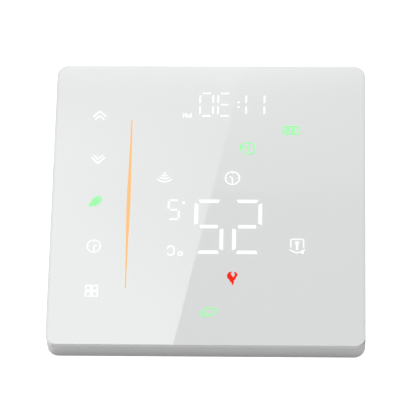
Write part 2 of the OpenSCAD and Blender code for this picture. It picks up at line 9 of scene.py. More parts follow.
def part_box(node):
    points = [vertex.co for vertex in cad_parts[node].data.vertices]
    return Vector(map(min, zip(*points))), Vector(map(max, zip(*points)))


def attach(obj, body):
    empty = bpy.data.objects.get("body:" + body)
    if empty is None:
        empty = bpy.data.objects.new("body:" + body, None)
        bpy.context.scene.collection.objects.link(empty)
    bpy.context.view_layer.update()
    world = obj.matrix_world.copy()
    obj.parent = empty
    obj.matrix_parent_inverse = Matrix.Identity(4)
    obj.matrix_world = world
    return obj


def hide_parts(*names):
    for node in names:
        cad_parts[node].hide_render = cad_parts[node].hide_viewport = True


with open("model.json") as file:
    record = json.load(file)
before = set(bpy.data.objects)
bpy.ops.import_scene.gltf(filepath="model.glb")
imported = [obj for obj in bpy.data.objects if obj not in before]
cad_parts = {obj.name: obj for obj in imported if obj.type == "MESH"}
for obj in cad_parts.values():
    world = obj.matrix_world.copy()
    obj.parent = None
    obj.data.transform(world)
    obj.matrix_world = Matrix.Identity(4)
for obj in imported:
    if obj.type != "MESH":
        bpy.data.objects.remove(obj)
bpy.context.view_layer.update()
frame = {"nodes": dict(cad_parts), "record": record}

# The looks of the wall thermostat, built round its CAD model: X right, Y into the wall, Z up, in metres.
# Outlines on the front are in millimetres from the middle of the glass, with X right and Z up.

MM = 0.001
glass_low, glass_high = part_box("glass_panel")
GLASS = (glass_low + glass_high) / 2 / MM          # middle of the glass
FRONT_Y = glass_low.y / MM                         # front of the glass
PANEL_W = (glass_high.x - glass_low.x) / MM
PANEL_R = 3.0                                      # corner radius of the glass


# ---------- outlines ----------

def arc(x, z, radius, start, end, steps=16):
    """Points along an arc, with its angles in degrees."""
    turns = [math.radians(start + (end - start) * k / steps) for k in range(steps + 1)]
    return [(x + radius * math.cos(t), z + radius * math.sin(t)) for t in turns]


def ring(x, z, radius, steps=32):
    """Points round a whole circle."""
    return arc(x, z, radius, 0, 360, steps)[:-1]


def round_rect(x, z, width, height, radius, steps=8):
    """A rectangle with round corners about its middle."""
    right, top = width / 2 - radius, height / 2 - radius
    corners = [(right, top, 0), (-right, top, 90), (-right, -top, 180), (right, -top, 270)]
    return [p for cx, cz, a in corners for p in arc(x + cx, z + cz, radius, a, a + 90, steps)]


def through(points, steps=4):
    """A smooth curve through the points."""
    last = len(points) - 1
    curve = []
    for i in range(last):
        p = [Vector(points[min(max(i + k, 0), last)]) for k in (-1, 0, 1, 2)]
        for k in range(steps):
            t = k / steps
            bend = (2 * p[0] - 5 * p[1] + 4 * p[2] - p[3]) * t * t
            twist = (3 * p[1] - p[0] - 3 * p[2] + p[3]) * t ** 3
            curve.append(tuple((2 * p[1] + (p[2] - p[0]) * t + bend + twist) / 2))
    return curve + [tuple(points[-1])]


MITRE = 0.45                                       # share of its width by which a stroke's short edge is cut


def stroke(a, b, width, longer=0):
    """A straight stroke from a to b. Its left (1) or right (-1) edge is the longer one, or neither (0)."""
    a, b = Vector(a), Vector(b)
    along = (b - a).normalized()
    side = Vector((-along.y, along.x)) * width / 2
    cut = along * width * (MITRE if longer else 0)
    left_cut = cut * (longer <= 0)
    right_cut = cut * (longer >= 0)
    return [tuple(p) for p in (a - side + right_cut, b - side - right_cut,
                               b + side - left_cut, a + side + left_cut)]


def softened(outline, radius):
    """The outline with each corner rounded."""
    steps = 3
    points = []
    count = len(outline)
    for i in range(count):
        before, here, after = (Vector(outline[(i + k) % count]) for k in (-1, 0, 1))
        start = here + (before - here).normalized() * min(radius, (before - here).length / 2)
        end = here + (after - here).normalized() * min(radius, (after - here).length / 2)
        for k in range(steps + 1):
            t = k / steps
            points.append(tuple(start * (1 - t) ** 2 + here * 2 * t * (1 - t) + end * t * t))
    return points


# ---------- meshes ----------

def place(x, y, z):
    """A point in the frame, from millimetres about the middle of the glass."""
    return Vector((GLASS.x + x, y, GLASS.z + z)) * MM


def add_prism(bm, outline, y0, y1):
    """A thin plate with this outline, from y0 to y1."""
    front = [bm.verts.new(place(x, y0, z)) for x, z in outline]
    back = [bm.verts.new(place(x, y1, z)) for x, z in outline]
    bm.faces.new(front)
    bm.faces.new(back[::-1])
    for i in range(len(front)):
        j = (i + 1) % len(front)
        bm.faces.new((front[i], back[i], back[j], front[j]))


def add_ribbon(bm, path, width, y0, y1, closed=False):
    """A flat line of this width along a path, from y0 to y1."""
    count = len(path)
    rows = []
    for i in range(count):
        here = Vector(path[i])
        before = Vector(path[i - 1]) if closed or i > 0 else None
        after = Vector(path[(i + 1) % count]) if closed or i < count - 1 else None
        ways = []
        if before is not None:
            ways.append((here - before).normalized())
        if after is not None:
            ways.append((after - here).normalized())
        along = sum(ways, Vector((0, 0))).normalized()
        side = Vector((-along.y, along.x))
        # a bend makes the line's edge reach further, but a sharp one grows no spike
        reach = width / 2 / max(0.5, abs(along.dot(ways[0])))
        left, right = here + side * reach, here - side * reach
        rows.append([bm.verts.new(place(p.x, y, p.y)) for p, y in
                     ((left, y0), (right, y0), (right, y1), (left, y1))])
    for i in range(count if closed else count - 1):
        a, b = rows[i], rows[(i + 1) % count]
        for k in range(4):
            bm.faces.new((a[k], a[(k + 1) % 4], b[(k + 1) % 4], b[k]))
    if not closed:
        bm.faces.new(rows[0][::-1])
        bm.faces.new(rows[-1])


def add_loft(bm, sections):
    """Skins a row of outlines with equal numbers of points: each is (y, outline). Both ends are closed."""
    rings = [[bm.verts.new(place(x, y, z)) for x, z in outline] for y, outline in sections]
    for a, b in zip(rings, rings[1:]):
        for i in range(len(a)):
            j = (i + 1) % len(a)
            bm.faces.new((a[i], a[j], b[j], b[i]))
    bm.faces.new(rings[0][::-1])
    bm.faces.new(rings[-1])


def piece(name, bm, material, body, smooth=False):
    """Makes a finished piece from a mesh, with its material, on its body. Studio pieces have no body."""
    bmesh.ops.recalc_face_normals(bm, faces=bm.faces)
    for face in bm.faces:
        face.smooth = smooth
    mesh = bpy.data.meshes.new(name)
    bm.to_mesh(mesh)
    bm.free()
    obj = bpy.data.objects.new(name, mesh)
    bpy.context.scene.collection.objects.link(obj)
    mesh.materials.append(material)
    if body:
        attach(obj, body)
    return obj


# ---------- materials ----------

WAVE_BAND = math.pi / 10                           # width of a band of the wave texture at scale 1


class Finish:
    """One procedural material. Its patterns follow the object's own coordinates, in metres."""

    def __init__(self, name, roughness=0.5, metallic=0.0, **sockets):
        self.material = bpy.data.materials.new(name)
        self.material.use_nodes = True
        self.tree = self.material.node_tree
        self.shader = self.tree.nodes["Principled BSDF"]
        self.spot = self.add("TexCoord").outputs["Object"]
        self.set("Roughness", roughness)
        self.set("Metallic", metallic)
        for key, value in sockets.items():
            self.set(key.replace("_", " "), value)

    def add(self, kind, **settings):
        """A new node of this kind, with these settings."""
        node = self.tree.nodes.new("ShaderNode" + kind)
        for key, value in settings.items():
            setattr(node, key, value)
        return node

    def feed(self, socket, value):
        """Joins a socket to an output, or gives it a plain value."""
        if isinstance(value, bpy.types.NodeSocket):
            self.tree.links.new(value, socket)
        else:
            socket.default_value = value

    def set(self, name, value):
        """Sets or feeds a socket of the shader by its name."""
        if name.endswith("Color") and not isinstance(value, bpy.types.NodeSocket):
            value = (*value[:3], 1.0)
        self.feed(self.shader.inputs[name], value)

    def stretched(self, scale):
        """The place, scaled apart along X, Y and Z."""
        node = self.add("VectorMath", operation="MULTIPLY")
        self.feed(node.inputs[0], self.spot)
        self.feed(node.inputs[1], scale)
        return node.outputs["Vector"]

    def noise(self, size, detail=2.0, stretch=None):
        """A soft noise from 0 to 1 whose blots are about this many millimetres wide."""
        node = self.add("TexNoise")
        self.feed(node.inputs["Vector"], self.stretched(stretch) if stretch else self.spot)
        self.feed(node.inputs["Scale"], 1 / (size * MM))
        self.feed(node.inputs["Detail"], detail)
        return node.outputs["Fac"]

    def cells(self, size, output="Distance"):
        """A cell pattern whose cells are about this many millimetres wide."""
        node = self.add("TexVoronoi")
        self.feed(node.inputs["Vector"], self.spot)
        self.feed(node.inputs["Scale"], 1 / (size * MM))
        return node.outputs[output]

    def waves(self, size, direction, distortion=0.0):
        """Straight bands of this width in millimetres."""
        node = self.add("TexWave", bands_direction=direction)
        self.feed(node.inputs["Vector"], self.spot)
        self.feed(node.inputs["Scale"], WAVE_BAND / (size * MM))
        self.feed(node.inputs["Distortion"], distortion)
        return node.outputs["Fac"]

    def math(self, operation, a, b=0.0):
        """One step of arithmetic."""
        node = self.add("Math", operation=operation)
        self.feed(node.inputs[0], a)
        self.feed(node.inputs[1], b)
        return node.outputs[0]

    def axis(self, name):
        """The place along one axis, in millimetres."""
        parts = self.add("SeparateXYZ")
        self.feed(parts.inputs[0], self.spot)
        return self.math("DIVIDE", parts.outputs[name], MM)

    def between(self, value, low, high):
        """1 where the value lies between low and high, else 0."""
        return self.math("MULTIPLY", self.math("GREATER_THAN", value, low),
                         self.math("LESS_THAN", value, high))

    def ramp(self, value, low, high, bottom=0.0, top=1.0):
        """Maps low..high to bottom..top and holds it there outside."""
        node = self.add("MapRange")
        for key, item in zip(("Value", "From Min", "From Max", "To Min", "To Max"),
                             (value, low, high, bottom, top)):
            self.feed(node.inputs[key], item)
        return node.outputs["Result"]

    def mix(self, share, a, b):
        """Colour a turning into colour b as the share goes from 0 to 1."""
        node = self.add("Mix", data_type="RGBA")
        self.feed(node.inputs[0], share)
        for index, item in ((6, a), (7, b)):        # the node's two colour sockets
            if not isinstance(item, bpy.types.NodeSocket):
                item = (*item[:3], 1.0)
            self.feed(node.inputs[index], item)
        return node.outputs[2]

    def facing(self, axis):
        """How squarely the surface faces along one axis, from -1 to 1."""
        geometry = self.add("NewGeometry")
        parts = self.add("SeparateXYZ")
        self.feed(parts.inputs[0], geometry.outputs["True Normal"])
        return parts.outputs[axis]

    def invert(self, share):
        """The rest of a share, from 1 to 0."""
        return self.math("SUBTRACT", 1.0, share)

    def mottled(self, share, colour, low, high):
        """The colour at a low brightness, turning into a high one as the share goes from 0 to 1."""
        return self.mix(share, shade(colour, low), shade(colour, high))

    def bump(self, height, depth):
        """Raises the surface by up to this many millimetres."""
        node = self.add("Bump")
        self.feed(node.inputs["Height"], height)
        self.feed(node.inputs["Distance"], depth * MM)
        self.set("Normal", node.outputs["Normal"])


def shade(colour, factor):
    """The colour made darker or lighter."""
    return tuple(min(1.0, c * factor) for c in colour[:3])


def moulded(name, colour, roughness=0.4, grain=0.25, depth=0.01, fade=0.97):
    """Injection-moulded plastic: a fine grain, a faint flow pattern and uneven gloss."""
    f = Finish(name, Specular_IOR_Level=0.45)
    flow = f.noise(14, 3)
    fine = f.noise(grain)
    f.set("Base Color", f.mottled(f.ramp(flow, 0.3, 0.7), colour, fade, 1.0))
    f.set("Roughness", f.ramp(fine, 0.3, 0.7, roughness - 0.06, roughness + 0.06))
    f.bump(fine, depth)
    return f.material


def plated(name, colour, roughness, spangle, stretch=None):
    """Plated metal: crystal patches in slightly different greys, and rolling or turning lines."""
    f = Finish(name, metallic=1.0)
    patch = f.cells(spangle, "Color")
    tone = f.add("RGBToBW")
    f.feed(tone.inputs[0], patch)
    lines = f.noise(0.3, 3, stretch)
    f.set("Base Color", f.mottled(f.ramp(tone.outputs[0], 0.1, 0.9), colour, 0.86, 1.08))
    f.set("Roughness", f.ramp(lines, 0.25, 0.75, roughness - 0.09, roughness + 0.12))
    f.bump(lines, 0.004)
    return f.material


def drawn(name, colour, roughness, stretch=(1, 0.06, 1)):
    """Drawn or stamped bright metal, with fine lines along one axis and a few dull spots."""
    f = Finish(name, metallic=1.0)
    lines = f.noise(0.2, 4, stretch)
    dull = f.noise(2.5, 3)
    f.set("Base Color", f.mottled(f.ramp(dull, 0.35, 0.75), colour, 1.0, 0.8))
    f.set("Roughness", f.ramp(lines, 0.3, 0.7, roughness - 0.07, roughness + 0.12))
    f.bump(lines, 0.003)
    return f.material


EDGE_SHADE_OUTER = 0.35                                   # painted shade on the glass fades in between these two places, from its left and right edges, mm
EDGE_SHADE_INNER = 0.85                                   # two places, from its left and right edges, mm


def polished_glass(name, colour):
    """White-backed glass, polished on its face. Painted shade darkens it towards its left and right edges."""
    f = Finish(name, Specular_IOR_Level=0.5)
    white = f.mottled(f.ramp(f.noise(60), 0.3, 0.7), colour, 0.995, 1.005)
    # painted shade: the glass's colour is made darker towards its left and right edges
    from_middle = f.math("ABSOLUTE", f.math("SUBTRACT", f.axis("X"), GLASS.x))
    painted_edge_shade = f.ramp(from_middle, PANEL_W / 2 - EDGE_SHADE_INNER, PANEL_W / 2 - EDGE_SHADE_OUTER)
    f.set("Base Color", f.mix(painted_edge_shade, white, shade(colour, 0.92)))
    f.set("Roughness", f.ramp(f.noise(8, 3), 0.3, 0.7, 0.004, 0.009))
    return f.material


FILM_TONE = 0.072                                  # how dark the film over a lit mark is, next to its light


def lit(name, glow):
    """A mark lit from behind, through a film with a fine weave."""
    f = Finish(name, 0.35, Emission_Color=glow, Emission_Strength=1.0, Specular_IOR_Level=0.0)
    weave = f.noise(0.12)
    f.set("Base Color", f.mottled(weave, shade(glow, FILM_TONE), 1.0, 0.8))
    f.bump(weave, 0.002)
    return f.material


def circuit_board(name, mask, copper):
    """Solder mask over copper tracks, with tinned pads showing as small bright dots."""
    f = Finish(name, 0.3, Coat_Weight=0.3, Coat_Roughness=0.15)
    across = f.waves(0.9, "X")
    along = f.waves(0.9, "Z")
    area = f.cells(7, "Color")
    pick = f.add("SeparateColor")
    f.feed(pick.inputs[0], area)
    way = f.math("GREATER_THAN", pick.outputs[0], 0.5)
    # each area has its tracks across or along the board, and some areas have none
    lines = f.add("Mix", data_type="FLOAT")
    f.feed(lines.inputs[0], way)
    f.feed(lines.inputs[2], across)
    f.feed(lines.inputs[3], along)
    quiet = f.math("GREATER_THAN", pick.outputs[1], 0.35)
    track = f.math("MULTIPLY", f.math("GREATER_THAN", lines.outputs[0], 0.62), quiet)
    pad = f.math("LESS_THAN", f.cells(3.4), 0.12)
    body = f.mix(track, mask, copper)
    f.set("Base Color", f.mix(pad, body, (0.6, 0.6, 0.58)))
    f.set("Metallic", f.math("MULTIPLY", pad, 0.9))
    f.set("Roughness", f.ramp(f.noise(0.6), 0.3, 0.7, 0.25, 0.36))
    f.bump(f.math("ADD", track, pad), 0.03)
    return f.material


def chip_epoxy(name, boxes, leg_y):
    """Dull black epoxy with tinned legs, which stand outside the bodies' outlines."""
    f = Finish(name)
    legs = f.math("LESS_THAN", f.axis("Y"), leg_y)
    for low, high in boxes:
        inside = f.math("MULTIPLY", f.between(f.axis("X"), low.x / MM - 0.01, high.x / MM + 0.01),
                        f.between(f.axis("Z"), low.z / MM - 0.01, high.z / MM + 0.01))
        legs = f.math("MULTIPLY", legs, f.invert(inside))
    fine = f.noise(0.12)
    epoxy = f.mix(fine, (0.018, 0.018, 0.019), (0.035, 0.035, 0.036))
    tin = f.mix(fine, (0.55, 0.55, 0.54), (0.7, 0.7, 0.69))
    f.set("Base Color", f.mix(legs, epoxy, tin))
    f.set("Metallic", legs)
    f.set("Roughness", f.ramp(legs, 0, 1, 0.55, 0.3))
    f.bump(fine, 0.006)
    return f.material


def wound_wire(name, wire, flange):
    """Enamelled wire wound round Y, between dull flanges at the ends."""
    f = Finish(name)
    turns = f.waves(0.35, "Y")
    end = f.math("GREATER_THAN", f.math("ABSOLUTE", f.facing("Y")), 0.7)
    f.set("Base Color", f.mix(end, f.mottled(turns, wire, 0.45, 1.0), flange))
    f.set("Metallic", f.ramp(end, 0, 1, 0.8, 0.0))
    f.set("Roughness", f.ramp(end, 0, 1, 0.3, 0.6))
    f.bump(f.math("MULTIPLY", turns, f.invert(end)), 0.12)
    return f.material


def sleeve_and_top(name, sleeve, top):
    """A shrink sleeve with a pale stripe down one side, and a bare aluminium top that faces back."""
    f = Finish(name)
    bare = f.math("GREATER_THAN", f.facing("Y"), 0.7)
    stripe = f.math("GREATER_THAN", f.facing("X"), 0.9)
    fine = f.noise(0.5, 3)
    skin = f.mix(stripe, f.mottled(fine, sleeve, 0.8, 1.2), (0.5, 0.52, 0.55))
    f.set("Base Color", f.mix(bare, skin, top))
    f.set("Metallic", bare)
    f.set("Roughness", f.ramp(fine, 0.3, 0.7, 0.22, 0.36))
    f.bump(fine, 0.01)
    return f.material


def taped_winding(name, tape, bobbin, low, high):
    """Polyester tape in overlapping turns, on a dark bobbin whose pin rails stand outside it."""
    f = Finish(name)
    laps = f.waves(2.0, "Z", 0.6)
    rail = f.invert(f.between(f.axis("Z"), low, high))
    f.set("Base Color", f.mix(rail, f.mottled(laps, tape, 0.82, 1.0), bobbin))
    f.set("Roughness", f.ramp(rail, 0, 1, 0.22, 0.5))
    f.bump(f.math("MULTIPLY", laps, f.invert(rail)), 0.05)
    return f.material


def dipped(name, colour, lead_y):
    """A body dipped in epoxy, glossy and slightly lumpy, on tinned leads below it."""
    f = Finish(name, 0.18)
    lead = f.math("LESS_THAN", f.axis("Y"), lead_y)
    lumps = f.noise(1.6, 3)
    f.set("Base Color", f.mix(lead, f.mottled(lumps, colour, 0.8, 1.15), (0.6, 0.6, 0.6)))
    f.set("Metallic", lead)
    f.bump(lumps, 0.12)
    return f.material


def rough_ceramic(name, colour):
    """Ground ferrite: dark, with pores and bright specks."""
    f = Finish(name)
    grain = f.noise(0.35, 5)
    speck = f.math("LESS_THAN", f.cells(0.8), 0.1)
    f.set("Base Color", f.mix(speck, f.mottled(grain, colour, 0.7, 1.4), (0.2, 0.2, 0.21)))
    f.set("Roughness", f.ramp(grain, 0.3, 0.7, 0.4, 0.62))
    f.bump(grain, 0.03)
    return f.material


def foam(name, colour):
    """Closed-cell foam tape."""
    f = Finish(name, 0.85)
    bubbles = f.cells(0.35)
    f.set("Base Color", f.mottled(f.ramp(bubbles, 0.0, 0.6), colour, 0.7, 1.1))
    f.bump(bubbles, 0.08)
    return f.material


def phosphor(name, colour):
    """A yellow phosphor dot in a white package."""
    f = Finish(name, 0.25, Coat_Weight=0.6)
    dot = f.ramp(f.noise(0.3, 1), 0.4, 0.6)
    f.set("Base Color", f.mix(dot, (0.75, 0.75, 0.72), colour))
    f.bump(dot, 0.01)
    return f.material


board_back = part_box("display_board")[1].y / MM
micro_low, micro_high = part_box("microcontroller")
driver_low, driver_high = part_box("driver_chips")
LEG = Vector((1.2, 0, 1.2)) * MM                   # how far the legs stand out of the microcontroller
LEG_Z = Vector((0, 0, 0.8)) * MM                   # how far the legs stand out of a driver chip
LEG_TOP = 0.3                                      # the chips' legs reach this far off the board
VARISTOR_LEADS = 1.7                               # length of the varistor's leads in view
winding_low, winding_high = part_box("transformer_winding")
WINDING_Z = (winding_low.z + winding_high.z) / 2 / MM
WINDING_HALF = 6.05                                # half height of the winding between its pin rails

FINISHES = {
    "grey_foam": foam("foam_tape", (0.42, 0.42, 0.43)),
    "milky_film": moulded("satin_film", (0.85, 0.85, 0.82), 0.3, 0.1, 0.003),
    "black_mask": moulded("black_mask", (0.03, 0.03, 0.03), 0.5),
    "white_window": moulded("white_window", (0.85, 0.85, 0.84), 0.25, 0.2, 0.004),
    "green_window": moulded("green_window", (0.5, 0.9, 0.55), 0.25, 0.2, 0.004),
    "amber_window": moulded("amber_window", (0.9, 0.5, 0.16), 0.25, 0.2, 0.004),
    "spring_steel": drawn("spring_wire", (0.62, 0.62, 0.62), 0.22, (0.1, 1, 0.1)),
    "led_yellow": phosphor("led_phosphor", (0.85, 0.72, 0.12)),
    "green_board": circuit_board("green_board", (0.012, 0.10, 0.035), (0.03, 0.2, 0.06)),
    "dark_board": circuit_board("dark_board", (0.006, 0.012, 0.04), (0.02, 0.05, 0.12)),
    "zinc_screw": plated("zinc_screw", (0.62, 0.64, 0.66), 0.28, 0.8),
    "zinc_plate": plated("zinc_plate", (0.6, 0.62, 0.64), 0.36, 2.2, (0.12, 1, 1)),
    "tinned_steel": plated("tinned_sheet", (0.68, 0.68, 0.67), 0.25, 1.4, (1, 1, 0.1)),
    "cell_steel": drawn("cell_steel", (0.75, 0.75, 0.74), 0.18, (1, 1, 0.1)),
    "relay_steel": plated("relay_steel", (0.6, 0.6, 0.58), 0.34, 0.9),
    "terminal_steel": plated("terminal_steel", (0.64, 0.66, 0.67), 0.26, 0.7),
    "cage_steel": plated("cage_steel", (0.6, 0.63, 0.6), 0.32, 0.9, (0.2, 1, 1)),
    "contact_brass": drawn("contact_brass", (0.76, 0.56, 0.24), 0.24),
    "copper_wire": wound_wire("copper_winding", (0.55, 0.2, 0.09), (0.05, 0.05, 0.05)),
    "black_plastic": moulded("black_plastic", (0.025, 0.025, 0.026), 0.42, 0.2),
    "white_housing": moulded("white_housing", (0.822, 0.815, 0.819), 0.42, 0.22, 0.006, 0.985),
    "white_cover": moulded("white_cover", (0.765, 0.766, 0.764), 0.52, 0.35, 0.02),
    "white_box": moulded("white_box", (0.765, 0.766, 0.761), 0.5, 0.4, 0.02),
    "grey_cover": moulded("grey_cover", (0.58, 0.59, 0.59), 0.5, 0.4, 0.02),
    "grey_block": moulded("grey_block", (0.16, 0.17, 0.18), 0.46, 0.3, 0.02, 0.85),
    "brown_plastic": moulded("brown_plastic", (0.12, 0.05, 0.03), 0.36, 0.4, 0.01),
    "blue_case": moulded("blue_case", (0.02, 0.07, 0.3), 0.3, 0.3, 0.008),
    "yellow_box": moulded("yellow_box", (0.78, 0.52, 0.06), 0.28, 0.4, 0.008),
    "ferrite": rough_ceramic("ferrite", (0.05, 0.05, 0.055)),
    "winding_tape": taped_winding("winding_tape", (0.72, 0.5, 0.06), (0.02, 0.02, 0.02),
                                  WINDING_Z - WINDING_HALF, WINDING_Z + WINDING_HALF),
    "capacitor_sleeve": sleeve_and_top("capacitor_sleeve", (0.02, 0.03, 0.1), (0.7, 0.7, 0.71)),
    "blue_ceramic": dipped("blue_dip", (0.06, 0.16, 0.42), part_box("varistor")[0].y / MM + VARISTOR_LEADS),
    "black_chip": chip_epoxy("chip_epoxy", [(micro_low + LEG, micro_high - LEG),
                                            (driver_low + LEG_Z, driver_high - LEG_Z)], board_back + LEG_TOP),
}
glass_finish = polished_glass("panel_glass", (0.80, 0.809, 0.806))
WHITE_LIGHT = lit("lit_white", (1.0, 1.0, 1.0))
GREEN_LIGHT = lit("lit_green", (0.352, 0.939, 0.413))
RED_LIGHT = lit("lit_red", (0.87, 0.024, 0.012))
AMBER_LIGHT = lit("lit_amber", (0.956, 0.545, 0.228))

for part in frame["record"]["subparts"]:
    if part["node"] in frame["nodes"] and part["material_slot"] in FINISHES:
        mesh = frame["nodes"][part["node"]].data
        mesh.materials.clear()
        mesh.materials.append(FINISHES[part["material_slot"]])


# ---------- soft edges on the CAD nodes ----------

SOFT_ANGLE = 0.6                                   # sharper corners than this get a soft edge, radians
FLAT_ANGLE = 0.02                                  # faces flatter than this are joined first
SAME_POINT = 1e-6                                  # points nearer than this are one, metres
EDGE_WIDTHS = {
    "front_housing": 0.12, "rear_cover": 0.15, "rear_box": 0.3, "box_cover": 0.15,
    "mounting_bracket": 0.12, "terminal_block": 0.12, "cover_screws": 0.08, "bracket_screws": 0.08,
    "header_socket": 0.12, "header_base": 0.12, "header_pins": 0.1, "buzzer": 0.25, "network_shield": 0.07,
    "cell_clip": 0.1, "coin_cell": 0.15, "transformer_core": 0.2, "safety_capacitor": 0.4,
    "relay_case": 0.25, "relay_base": 0.15, "relay_armature": 0.045, "fuse": 0.4, "capacitors": 0.35,
    "varistor": 0.8, "contact_bars": 0.1, "board_screws": 0.08,
}
for k in range(1, 7):
    EDGE_WIDTHS[f"clamp_screw_{k}"] = 0.1
    EDGE_WIDTHS[f"clamp_cage_{k}"] = 0.12


def soften(node, width):
    """Rounds a CAD node's sharp edges by modifiers, so its own mesh stays as it is."""
    obj = frame["nodes"][node]
    weld = obj.modifiers.new("weld", "WELD")
    weld.merge_threshold = SAME_POINT
    flat = obj.modifiers.new("flat", "DECIMATE")
    flat.decimate_type = "DISSOLVE"
    flat.angle_limit = FLAT_ANGLE
    edge = obj.modifiers.new("edge", "BEVEL")
    edge.limit_method = "ANGLE"
    edge.angle_limit = SOFT_ANGLE
    edge.width = width * MM
    edge.segments = 2
    edge.use_clamp_overlap = True
    normals = obj.modifiers.new("normals", "WEIGHTED_NORMAL")
    normals.weight = 100


for node, width in EDGE_WIDTHS.items():
    soften(node, width)


# ---------- glass ----------

MARK_RISE = 0.04                                   # the lit marks stand this far in front of the glass
MARK_SINK = 0.01                                   # and reach this far into it
GLASS_SINK = 0.05                                  # the glass reaches this far into the tape behind it
EDGE_R = 0.15                                      # round edges of the glass, in front and behind


def build_glass():
    """The sheet of glass, with its round polished edges."""
    y_front = FRONT_Y + MARK_RISE
    y_back = glass_high.y / MM + GLASS_SINK
    front_turns = [math.radians(15 * k) for k in range(7)]
    back_turns = [math.radians(30 * k) for k in range(4)]
    sections = [(y_front + EDGE_R * (1 - math.cos(t)), EDGE_R * (1 - math.sin(t))) for t in front_turns]
    sections += [(y_back - EDGE_R * (1 - math.sin(t)), EDGE_R * (1 - math.cos(t))) for t in back_turns]
    bm = bmesh.new()
    add_loft(bm, [(y, round_rect(0, 0, PANEL_W - 2 * inset, PANEL_W - 2 * inset, PANEL_R - inset, 12))
                  for y, inset in sections])
    glass = piece("glass_sheet", bm, glass_finish, "control_unit", smooth=True)
    normals = glass.modifiers.new("normals", "WEIGHTED_NORMAL")
    normals.weight = 100
    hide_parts("glass_panel")


build_glass()


# ---------- lit marks on the front ----------

MARK_BACK = FRONT_Y + MARK_RISE + MARK_SINK
DISPLAY = Vector((-0.07, 0.19))                    # middle of the display, from the middle of the glass
MIDDLE_SHARE = 0.83                                # length of the middle stroke, next to the outer ones
STROKE_ROUND = 0.16                                # corner radius of a stroke, next to its width
TICK_LENGTH = 0.4                                  # quarter-hour ticks of the small clocks
TICK_WIDTH = 0.22
SEGMENTS = {"0": "abcdef", "1": "bc", "2": "abged", "3": "abgcd", "5": "afgcd"}


class Mark:
    """Lit shapes on the glass that make one named piece, in mm from the middle of the display."""

    def __init__(self):
        self.bm = bmesh.new()

    def shape(self, outline):
        add_prism(self.bm, self.shifted(outline), FRONT_Y, MARK_BACK)

    def line(self, path, width, closed=False):
        add_ribbon(self.bm, self.shifted(path), width, FRONT_Y, MARK_BACK, closed)

    def shifted(self, points):
        return [tuple(Vector(p) + DISPLAY) for p in points]

    def dot(self, x, z, radius):
        self.shape(ring(x, z, radius, 20))

    def digit(self, figure, x, z, half_w, half_h, width, gap, middle_gap):
        """A seven-segment figure about (x, z), measured to the middles of its outer strokes.

        Its strokes stop short of the corners by the gap, and of the middle height by the middle gap.
        """
        reach = half_w - gap
        low, high = middle_gap, half_h - gap
        strokes = {
            "a": ((x - reach, z + half_h), (x + reach, z + half_h), 1),
            "g": ((x - reach * MIDDLE_SHARE, z), (x + reach * MIDDLE_SHARE, z), 0),
            "d": ((x - reach, z - half_h), (x + reach, z - half_h), -1),
            "b": ((x + half_w, z + low), (x + half_w, z + high), -1),
            "c": ((x + half_w, z - high), (x + half_w, z - low), -1),
            "f": ((x - half_w, z + low), (x - half_w, z + high), 1),
            "e": ((x - half_w, z - high), (x - half_w, z - low), 1),
        }
        for name in SEGMENTS[figure]:
            a, b, longer = strokes[name]
            self.shape(softened(stroke(a, b, width, longer), width * STROKE_ROUND))

    def done(self, name, material):
        piece(name, self.bm, material, "control_unit")


def temperature_marks():
    mark = Mark()
    for figure, x, half_w in (("2", -10.67, 3.52), ("5", -0.2, 3.5)):
        mark.digit(figure, x, 7.2, half_w, half_h=7.78, width=1.02, gap=0.55, middle_gap=0.53)
    mark.done("mark_degrees", WHITE_LIGHT)
    mark = Mark()
    mark.dot(6.83, -0.05, 0.45)
    mark.digit("5", 9.52, 2.1, half_w=1.4, half_h=2.9, width=0.52, gap=0.2, middle_gap=0.25)
    mark.done("mark_tenths", WHITE_LIGHT)
    mark = Mark()
    mark.line(ring(7.4, 15.5, 0.56, 24), 0.34, closed=True)
    top, bottom = arc(10.05, 15.0, 0.98, 25, 180, 8), arc(10.05, 14.15, 0.98, 180, 350, 8)
    mark.line(top + bottom, 0.38)
    mark.done("mark_unit", WHITE_LIGHT)


def time_marks():
    mark = Mark()
    for figure, x in (("1", -16.72), ("1", -11.66), ("3", -3.87), ("0", 1.15)):
        mark.digit(figure, x, -30.8, half_w=1.8, half_h=3.57, width=0.47, gap=0.52, middle_gap=0.42)
    for z in (-30.1, -31.6):
        mark.dot(-7.72, z, 0.35)
    mark.done("mark_time", WHITE_LIGHT)
    mark = Mark()
    mark.line([(5.4, -28.15), (5.4, -26.8), (5.9, -26.8)] + arc(5.95, -27.12, 0.32, 80, -80, 5)
              + [(5.55, -27.44)], 0.28)
    mark.line([(6.65, -28.15), (6.65, -26.75), (7.12, -27.7), (7.6, -26.6), (7.6, -28.15)], 0.28)
    mark.done("mark_half_day", WHITE_LIGHT)


def clock_icon(mark, x, z, radius, width, hand_up, hand_side):
    """A round clock with two hands and a tick at each quarter hour."""
    mark.line(ring(x, z, radius), width, closed=True)
    mark.line([(x, z + hand_up), (x, z), hand_side], width)
    for turn in (0, 90, 180, 270):
        way = Vector((math.cos(math.radians(turn)), math.sin(math.radians(turn))))
        outer, inner = way * (radius - width / 2), way * (radius - width / 2 - TICK_LENGTH)
        mark.line([(x + outer.x, z + outer.y), (x + inner.x, z + inner.y)], TICK_WIDTH)


